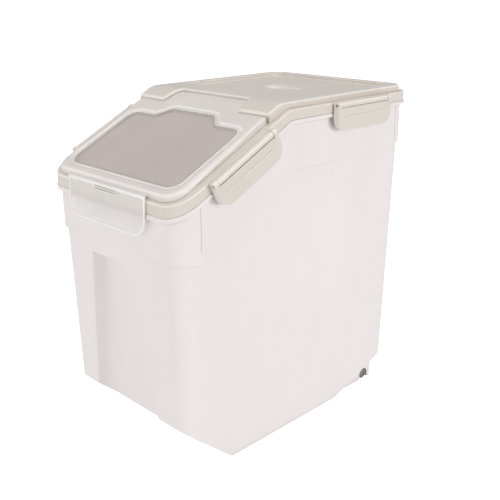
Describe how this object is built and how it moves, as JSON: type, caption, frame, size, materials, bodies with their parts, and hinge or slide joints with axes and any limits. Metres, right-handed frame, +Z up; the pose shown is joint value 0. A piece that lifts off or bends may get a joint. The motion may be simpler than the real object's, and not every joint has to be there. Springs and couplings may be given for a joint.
{
  "type": "rice bin",
  "caption": "Tall tapered storage bin with a sloped front, a latched lift-off lid, a clear flip-up flap over the mouth and small rear wheels.",
  "frame": {"origin": "on the floor, in the middle of the bin's box seen from above", "axes": "+Z up, front with the clear tab faces -Y, +X to the bin's right as seen by someone who looks along +Y"},
  "size_m": [0.293, 0.4558, 0.4685],
  "materials": {
    "milky_tub": "smooth milky white polypropylene",
    "lid_grey": "satin warm light grey plastic",
    "clear_flap": "frosted see-through plastic",
    "seal": "soft pale silicone",
    "pin_steel": "plain drawn steel",
    "wheel_grey": "smooth grey plastic"
  },
  "bodies": {
    "tub": {"tub": "milky_tub", "wheel_axle_left": "pin_steel", "wheel_axle_right": "pin_steel"},
    "lid": {"lid_frame": "lid_grey", "lid_gasket": "seal", "flap_pin_left": "pin_steel", "flap_pin_right": "pin_steel", "latch_pin_front_left": "pin_steel", "latch_pin_front_right": "pin_steel", "latch_pin_rear_left": "pin_steel", "latch_pin_rear_right": "pin_steel"},
    "flap": {"flap": "clear_flap", "flap_gasket": "seal"},
    "front_tab": {"front_tab": "clear_flap"},
    "latch_front_left": {"latch_front_left": "lid_grey"},
    "latch_front_right": {"latch_front_right": "lid_grey"},
    "latch_rear_left": {"latch_rear_left": "lid_grey"},
    "latch_rear_right": {"latch_rear_right": "lid_grey"},
    "wheel_left": {"wheel_left": "wheel_grey"},
    "wheel_right": {"wheel_right": "wheel_grey"}
  },
  "joints": [
    {"name": "lid_lift", "type": "slide", "parent": "tub", "child": "lid", "axis": [0, 0, 1], "range_m": [0, 0.15]},
    {"name": "flap_hinge", "type": "hinge", "parent": "lid", "child": "flap", "pos_m": [0, -0.04224, 0.46092], "axis": [-1, 0, 0], "range_deg": [0, 95]},
    {"name": "front_tab_hinge", "type": "hinge", "parent": "flap", "child": "front_tab", "pos_m": [0, -0.2243, 0.3736], "axis": [-1, 0, 0], "range_deg": [0, 75]},
    {"name": "latch_front_left_hinge", "type": "hinge", "parent": "lid", "child": "latch_front_left", "pos_m": [-0.1413, -0.12367, 0.41328], "axis": [0, 0.8973, 0.4415], "range_deg": [0, 105]},
    {"name": "latch_front_right_hinge", "type": "hinge", "parent": "lid", "child": "latch_front_right", "pos_m": [0.1413, -0.12367, 0.41328], "axis": [0, -0.8973, -0.4415], "range_deg": [0, 105]},
    {"name": "latch_rear_left_hinge", "type": "hinge", "parent": "lid", "child": "latch_rear_left", "pos_m": [-0.1413, 0.1016, 0.4561], "axis": [0, 1, 0], "range_deg": [0, 105]},
    {"name": "latch_rear_right_hinge", "type": "hinge", "parent": "lid", "child": "latch_rear_right", "pos_m": [0.1413, 0.1016, 0.4561], "axis": [0, -1, 0], "range_deg": [0, 105]},
    {"name": "wheel_left_spin", "type": "hinge", "parent": "tub", "child": "wheel_left", "pos_m": [-0.1077, 0.1688, 0.0081], "axis": [1, 0, 0], "continuous": true},
    {"name": "wheel_right_spin", "type": "hinge", "parent": "tub", "child": "wheel_right", "pos_m": [0.1077, 0.1688, 0.0081], "axis": [1, 0, 0], "continuous": true}
  ]
}
